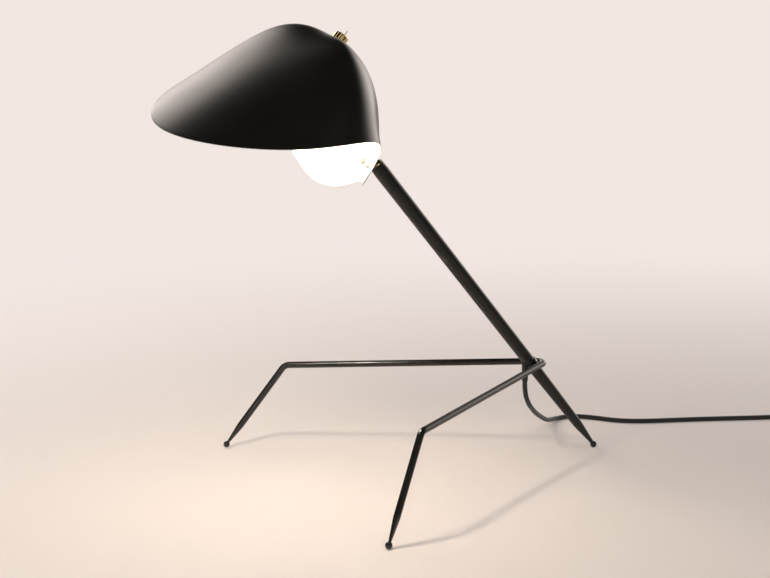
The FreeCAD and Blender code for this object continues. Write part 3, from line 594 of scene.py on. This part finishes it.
# Arm cable: the flex inside the arm, 4 mm across and with the same braided cover, which runs from the
# sleeve's plug up to just below the ball joint.
CABLE_DIA = 0.004
CABLE_STEP = 0.004
CABLE_START_HEIGHT = 0.122
ARM_CROSSING_HEIGHT = 0.118
CABLE_SHORT_OF_BALL = 0.009
UP_ARM = np.array([0.0, -0.640110, 0.768284])
ball = np.array(joints["head_turn"]["pos_m"])
turn_height = ARM_CROSSING_HEIGHT - SLEEVE_Y * UP_ARM[2] / -UP_ARM[1]
cable_low = np.array([0.0, SLEEVE_Y, CABLE_START_HEIGHT]) + STAND_BACK
cable_turn = np.array([0.0, SLEEVE_Y, turn_height]) + STAND_BACK
cable_end = ball - UP_ARM * CABLE_SHORT_OF_BALL
cable_line = even_line(np.array([cable_low, cable_turn, cable_end]), CABLE_STEP)
cable = tube("arm_flex", cable_line, CABLE_DIA, 16, aside=(1.0, 0.0, 0.0))
cable.data.materials.append(braided_cover().made)
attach(cable, "stand")
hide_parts("arm_cable")


# Ball joint: a ball on a hollow stud, in a bush that turns in the arm's end over a pressed-in stop ring,
# and a wedge seat outside the shade's wall. All of it is turned brass.
def turned_brass(name, roughness):
    """Polished brass, with fine turning marks, a warm lacquer and some tarnish."""
    finish = Finish(name, Metallic=1.0)
    tarnish = finish.noise(0.006, 4.0)
    marks = finish.noise(0.0005, 3.0)
    finish.put("Base Color", finish.blend(
        finish.between(tarnish, 0.4, 0.75), (0.83, 0.64, 0.33), (0.60, 0.42, 0.20)))
    finish.put("Roughness", roughness + 0.14 * tarnish + 0.05 * marks)
    finish.relief(marks, 0.00001)
    return finish


brass = turned_brass("turned_brass", 0.12)
dress(brass, "stop_ring", "seat_bush", "ball_stud", "outer_wedge")


# Shade: a visor-shaped shell spun and beaten from 1 mm steel sheet, with a cut and rounded rim. It is
# powder coated satin black outside and enamelled white inside, and clamped to the stud at its back.
SHADE_TURN = 12.0
SHADE_ROLL = 13.9
HALF_WIDTH = 0.126
SHADE_LENGTH = 0.285
SHADE_HEIGHT = 0.158
SHEET = 0.001
CROWN_LEAN = math.radians(37.4)
CROWN_RING = 0.004
CROWN_HOLE = 0.0104
STUD_RISE = math.radians(18.0)
WALL_ON_STUD = 0.0119
WALL_AS_DRAWN = 0.00917
SEAT_SHIFT = WALL_ON_STUD - WALL_AS_DRAWN
CROWN_Y_SHARE = -0.285
CROWN_Z_SHARE = 0.935
CROWN_REACHES = [0.170, 0.235, 0.281, 0.298, 0.074]
# Control points of the right half, from the back round to the front, as shares of the half width, the
# length and the height.
FLANK = [
    (0.000, 0.124, 0.136), (0.313, -0.060, 0.237), (0.743, -0.363, 0.674),
    (0.812, -0.439, 0.867), (0.000, -0.460, 1.047),
]
RIM = [
    (0.000, 0.017, -0.037), (0.208, -0.256, -0.342), (1.016, -0.289, 0.591),
    (1.063, -0.709, 0.441), (0.000, -1.191, 0.374),
]
RIGHT_EDGE_LIFT = 0.30
NEWTON_STEPS = 12
WHITE_ENAMEL = (0.90, 0.885, 0.85), (0.86, 0.84, 0.80)
turn, roll = math.radians(SHADE_TURN), math.radians(SHADE_ROLL)
turning = np.array([
    [math.cos(turn), -math.sin(turn), 0], [math.sin(turn), math.cos(turn), 0], [0, 0, 1]])
rolling = np.array([
    [math.cos(roll), 0, math.sin(roll)], [0, 1, 0], [-math.sin(roll), 0, math.cos(roll)]])
shade_axes = turning @ rolling
out_of_crown = np.array([0.0, math.sin(CROWN_LEAN), math.cos(CROWN_LEAN)])
down_back = np.array([0.0, math.cos(CROWN_LEAN), -math.sin(CROWN_LEAN)])
into_shade = np.array([0.0, -math.cos(STUD_RISE), math.sin(STUD_RISE)])
crown = np.array([0.0, CROWN_Y_SHARE * SHADE_LENGTH, CROWN_Z_SHARE * SHADE_HEIGHT])
crown = crown + into_shade * SEAT_SHIFT


def in_lamp(points):
    """Points of the shade's own axes, laid in the lamp at the ball's centre."""
    return ball + np.asarray(points) @ shade_axes.T


def shade_net():
    """The control net: two rings in the crown's plane, the flank and the rim, of eight columns each.

    The back's lower edge is cut higher on the right, by a share of the way up to the flank.
    """
    angles = np.pi * np.arange(5) / 4
    outward = np.outer(np.sin(angles), (1.0, 0.0, 0.0)) + np.outer(np.cos(angles), down_back)
    size = np.array([HALF_WIDTH, SHADE_LENGTH, SHADE_HEIGHT])
    shift = into_shade * SEAT_SHIFT
    rows = [
        crown + outward * CROWN_RING,
        crown + outward * np.array(CROWN_REACHES)[:, None] * SHADE_LENGTH,
        np.array(FLANK) * size + shift,
        np.array(RIM) * size + shift,
    ]
    net = np.stack([np.vstack([row, row[3:0:-1] * (-1, 1, 1)]) for row in rows])
    net[3, 1] += (net[2, 1] - net[3, 1]) * RIGHT_EDGE_LIFT
    return net


def shade_points(net, down, around):
    """The drawn surface and its two slopes, for arrays u and v of one shape.

    P(u, v) = sum of B_i(u) N_j(v) P_ij, with Bernstein cubics B down the net and uniform B-spline cubics N
    round it.
    """
    u = down[..., None]
    bern = np.concatenate([(1 - u) ** 3, 3 * u * (1 - u) ** 2, 3 * u * u * (1 - u), u ** 3], axis=-1)
    bern_slope = np.concatenate(
        [-3 * (1 - u) ** 2, 3 * (1 - u) * (1 - 3 * u), 3 * u * (2 - 3 * u), 3 * u * u], axis=-1)
    first = np.floor(around).astype(int)
    t = (around - first)[..., None]
    cubic = np.concatenate([
        (1 - t) ** 3, 3 * t ** 3 - 6 * t ** 2 + 4, -3 * t ** 3 + 3 * t ** 2 + 3 * t + 1, t ** 3,
    ], axis=-1) / 6
    cubic_slope = np.concatenate(
        [-(1 - t) ** 2, 3 * t ** 2 - 4 * t, -3 * t ** 2 + 2 * t + 1, t ** 2], axis=-1) / 2
    columns = (first[..., None] + np.arange(-1, 3)) % net.shape[1]
    local = np.moveaxis(net[:, columns], 0, -3)
    place = np.einsum("...i,...j,...ijk->...k", bern, cubic, local)
    down_slope = np.einsum("...i,...j,...ijk->...k", bern_slope, cubic, local)
    round_slope = np.einsum("...i,...j,...ijk->...k", bern, cubic_slope, local)
    return place, down_slope, round_slope


def shade_grid(down_count, round_count, rim_count):
    """Rows down the outer face, round the cut rim and back up the inner face, one sheet inside it.

    The first row lies where the drawn surface is the switch hole's radius away from the crown's axis, as
    Newton's method finds it.
    """
    net = shade_net()
    around = np.tile(8.0 * np.arange(round_count) / round_count, (down_count, 1))
    start = np.full(round_count, 0.01)
    for _ in range(NEWTON_STEPS):
        place, slope, _ = shade_points(net, start, around[0])
        off = place - crown
        radial = off - np.outer(off @ out_of_crown, out_of_crown)
        reach = np.linalg.norm(radial, axis=1)
        growth = np.einsum("ij,ij->i", slope, radial) / reach
        start = start + (CROWN_HOLE / 2 - reach) / growth
    shares = np.linspace(0.0, 1.0, down_count)[:, None]
    outer, down_slope, round_slope = shade_points(net, start + (1 - start) * shares, around)
    out = np.cross(round_slope, down_slope)
    out /= np.linalg.norm(out, axis=-1)[..., None]
    if out[0].mean(axis=0) @ out_of_crown < 0:
        out = -out
    onward = down_slope[-1] / np.linalg.norm(down_slope[-1], axis=-1)[:, None]
    outer[-1] -= onward * SHEET / 2
    angles = np.pi * (np.arange(rim_count) + 1) / (rim_count + 1)
    middle = outer[-1] - out[-1] * SHEET / 2
    rim = middle + SHEET / 2 * (
        np.cos(angles)[:, None, None] * out[-1] + np.sin(angles)[:, None, None] * onward)
    inner = outer - out * SHEET
    grid = np.concatenate([outer, rim, inner[::-1]])
    inside = np.concatenate([
        np.zeros(down_count), np.sin(angles / 2) ** 2, np.ones(down_count)])
    return in_lamp(grid), np.repeat(inside, round_count)


def shade_finish():
    """Satin black powder coat outside and white enamel inside, as the shell's own attribute says."""
    finish = Finish("shade_enamel", Specular_IOR_Level=0.5)
    inside = finish.node("ShaderNodeAttribute", {"attribute_name": "inside"}, {}, "Fac")
    inside = finish.between(inside, 0.04, 0.12)
    peel = finish.noise(0.0014, 2.0)
    cloud = finish.noise(0.05, 4.0)
    black = finish.blend(cloud, (0.0055, 0.0048, 0.0034), (0.0090, 0.0080, 0.0060))
    white = finish.blend(cloud, *WHITE_ENAMEL)
    finish.put("Base Color", finish.blend(inside, black, white))
    finish.put("Roughness", 0.26 + 0.08 * cloud + 0.12 * inside)
    finish.relief(peel, 0.00003)
    return finish


shade_rows, inside = shade_grid(down_count=96, round_count=240, rim_count=5)
shade = skin("visor_shade", shade_rows, loop=True, crease=60.0)
shade.data.attributes.new("inside", "FLOAT", "POINT").data.foreach_set("value", inside.astype(np.float32))
shade.data.materials.append(shade_finish().made)
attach(shade, "shade")
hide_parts("shade_shell")

# Inner fixings: the washer, the hexagon nut and the wedge seat that clamp the shade's wall to the stud from
# inside, turned in brass and enamelled white with the shade's inner face.
fixing_white = Finish("white_enamel", Roughness=0.4)
fixing_white.put("Base Color", fixing_white.blend(fixing_white.noise(0.003, 3.0), *WHITE_ENAMEL))
fixing_white.relief(fixing_white.noise(0.0008), 0.00002)
dress(fixing_white, "stud_washer", "stud_nut", "inner_wedge")

# Switch: a toggle switch held in the crown by a fluted brass ring nut, with a chromed lever outside, and
# under the sheet a washer, a round black case and two posts that join it to the lamp holder.
dress(turned_brass("polished_brass", 0.03), "switch_nut", "switch_bushing")
dress(brass, "switch_washer")


def plated_steel(name, colour, roughness):
    """Plated steel: bright, with faint wiping marks."""
    finish = Finish(name, Metallic=1.0)
    wipe = finish.noise(0.004, 4.0)
    finish.put("Base Color", finish.blend(wipe, colour, tuple(channel * 0.88 for channel in colour)))
    finish.put("Roughness", roughness + 0.12 * wipe)
    finish.relief(finish.noise(0.0004), 0.000006)
    return finish


dress(plated_steel("chromed_steel", (0.92, 0.91, 0.88), 0.22), "switch_lever")
dress(plated_steel("tinned_steel", (0.62, 0.61, 0.59), 0.30), "switch_terminals")
dress(moulded_rubber("switch_case", (0.018, 0.017, 0.016), 0.38), "switch_body")


# Lamp holder: two screwed shells of cream moulded plastic, the lower one with a coarse outer thread, round
# a brass screw shell with its spring contact. Its stations count down from the crown.
SKIRT_TOP = 0.028
SKIRT_BOTTOM = 0.050
BORE_FLOOR = 0.031
HOLDER_DIA = 0.028
HOLDER_BORE = 0.016
HOLDER_PITCH = 0.0026
HOLDER_THREAD_DEPTH = 0.0009
HOLDER_THREAD_MARGIN = 0.003
MOUTH_ROUND = 0.0012
BORE_ROUND = 0.0006
BORE_MIDDLE = 0.006


def about_crown(radius, station, angle):
    """Points at a radius, a station down from the crown and an angle, all arrays of one shape."""
    across = np.cos(angle)[..., None] * np.array([1.0, 0.0, 0.0]) + np.sin(angle)[..., None] * down_back
    return in_lamp(crown - station[..., None] * out_of_crown + radius[..., None] * across)


def cream_plastic():
    """Cream moulded plastic, a little mottled and yellowed by the heat."""
    finish = Finish("cream_plastic", Coat_Weight=0.2, Coat_Roughness=0.2)
    mottle = finish.noise(0.004, 4.0)
    finish.put("Base Color", finish.blend(mottle, (0.80, 0.745, 0.62), (0.86, 0.81, 0.70)))
    finish.put("Roughness", 0.28 + 0.12 * mottle)
    finish.relief(finish.noise(0.0008), 0.00001)
    return finish


def threaded(radius, depth, station, angle, pitch, low, high):
    """A radius with a round thread cut into it, running out at both ends.

    r - depth (1 - w) where w = (1 + cos(2 pi s / pitch - a)) / 2, faded in over a pitch at each end.
    """
    wave = 0.5 + 0.5 * np.cos(2 * np.pi * station / pitch - angle)
    fade = smooth_step((station - low) / pitch) * smooth_step((high - station) / pitch)
    return radius - depth * (1 - wave) * fade


def holder_grid(columns):
    """The skirt's outer thread, its rounded mouth and its bore, from the top edge to the bore's floor."""
    angle = 2 * np.pi * np.arange(columns) / columns
    outer = np.linspace(SKIRT_TOP, SKIRT_BOTTOM - MOUTH_ROUND, 110)
    mouth = np.linspace(0.0, np.pi / 2, 6)[1:]
    bore = np.array([SKIRT_BOTTOM - BORE_ROUND, SKIRT_BOTTOM - BORE_MIDDLE, BORE_FLOOR])
    station = np.concatenate([
        outer, SKIRT_BOTTOM - MOUTH_ROUND + MOUTH_ROUND * np.sin(mouth), [SKIRT_BOTTOM], bore])
    plain = np.concatenate([
        np.full(len(outer), HOLDER_DIA / 2), HOLDER_DIA / 2 - MOUTH_ROUND * (1 - np.cos(mouth)),
        [HOLDER_BORE / 2 + BORE_ROUND], np.full(3, HOLDER_BORE / 2)])
    station, angle = np.meshgrid(station, angle, indexing="ij")
    radius = np.repeat(plain[:, None], columns, axis=1)
    cut = threaded(
        radius, HOLDER_THREAD_DEPTH, station, angle, HOLDER_PITCH,
        SKIRT_TOP + HOLDER_THREAD_MARGIN, SKIRT_BOTTOM - HOLDER_THREAD_MARGIN)
    outside = radius > HOLDER_DIA / 2 - 1e-6
    return about_crown(np.where(outside, cut, radius), station, angle)


cream = cream_plastic()
dress(cream, "holder_cap")
skirt = skin("holder_skirt", holder_grid(96), crease=50.0)
skirt.data.materials.append(cream.made)
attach(skirt, "shade")
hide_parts("holder_body")
dress(brass, "screw_shell", "holder_contact")


# Bulb: a frosted glass globe on a 14 mm screw cap of rolled aluminium, with a black glass insulator and a
# soldered contact. It is lit.
CAP_TOP = 0.0361
CAP_BOTTOM = 0.0541
CAP_DIA = 0.014
CAP_PITCH = 0.00282
CAP_THREAD_DEPTH = 0.0008
CAP_PLAIN_END = 0.0025
GLOBE_DIA = 0.045
GLOBE_STATION = 0.0866
NECK_REACH = 0.036


def cap_grid(rows, columns):
    """The cap's rolled thread: a round wave that winds down a plain cylinder."""
    station = np.linspace(CAP_TOP, CAP_BOTTOM, rows)
    angle = 2 * np.pi * np.arange(columns) / columns
    station, angle = np.meshgrid(station, angle, indexing="ij")
    radius = np.full(station.shape, CAP_DIA / 2)
    return about_crown(
        threaded(
            radius, CAP_THREAD_DEPTH, station, angle, CAP_PITCH,
            CAP_TOP + CAP_THREAD_DEPTH, CAP_BOTTOM - CAP_PLAIN_END),
        station, angle)


aluminium = plated_steel("rolled_aluminium", (0.76, 0.76, 0.75), 0.26)
cap = skin("bulb_screw_cap", cap_grid(110, 64), crease=50.0)
cap.data.materials.append(aluminium.made)
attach(cap, "shade")
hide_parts("bulb_cap")
dress(aluminium, "bulb_contact")
dress(moulded_rubber("black_glass", (0.012, 0.012, 0.016), 0.12), "bulb_insulator")

frost = Finish("lit_frosted_glass", Roughness=0.4, Emission_Strength=175.0)
globe = in_lamp(crown - out_of_crown * GLOBE_STATION)
heart = frost.measure("DISTANCE", frost.place, tuple(globe))
neck_share = frost.between(heart, GLOBE_DIA / 2, NECK_REACH)
frost.put("Base Color", frost.blend(frost.noise(0.0006, 3.0), (0.95, 0.93, 0.88), (0.90, 0.88, 0.83)))
frost.put("Emission Color", frost.blend(neck_share, (1.0, 0.92, 0.78), (0.60, 0.52, 0.42)))
frost.relief(frost.noise(0.0005), 0.00001)
dress(frost, "bulb_glass")
stem = Finish("stem_glass", Roughness=0.05, Coat_Weight=0.5)
stem.put("Base Color", stem.blend(stem.noise(0.003, 3.0), (0.80, 0.82, 0.82), (0.92, 0.94, 0.94)))
dress(stem, "bulb_stem")
tungsten = Finish("glowing_tungsten", Metallic=1.0, Roughness=0.5, Emission_Strength=30.0)
tungsten.put("Emission Color", tungsten.blend(
    tungsten.noise(0.002), (1.0, 0.62, 0.25), (1.0, 0.72, 0.36)))
dress(tungsten, "filament")

# Lead inside the shade: a thin white sleeved flex from the hollow stud up to the lamp holder's cap. It sags
# a little on its way up behind the bulb.
LEAD_DIA = 0.0035
LEAD_STEP = 0.0012
LEAD_SAG = 0.014
STUD_END = 0.0231
STUD_GAP = 0.0003
ENTRY_STATION = 0.023
lead_first = into_shade * (STUD_END + STUD_GAP)
lead_entry = crown - out_of_crown * ENTRY_STATION + down_back * HOLDER_DIA / 2
lead_last = lead_entry + down_back * LEAD_SAG
lead_knee = lead_first + into_shade * LEAD_SAG
lead_middle = (lead_knee + lead_last) / 2 - np.array([0.0, LEAD_SAG, 0.0])
lead_line = even_line(
    in_lamp([lead_first, lead_knee, lead_middle, lead_last, lead_entry]), LEAD_STEP)
lead = tube("shade_flex", lead_line, LEAD_DIA, 16, aside=tuple(shade_axes[:, 0]))
white_sleeve = Finish("white_sleeving", Specular_IOR_Level=0.4)
white_sleeve.put("Base Color", white_sleeve.blend(
    white_sleeve.noise(0.005, 3.0), (0.90, 0.88, 0.84), (0.85, 0.83, 0.78)))
white_sleeve.put("Roughness", 0.45 + 0.1 * white_sleeve.noise(0.002))
lead.data.materials.append(white_sleeve.made)
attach(lead, "shade")
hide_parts("shade_lead")
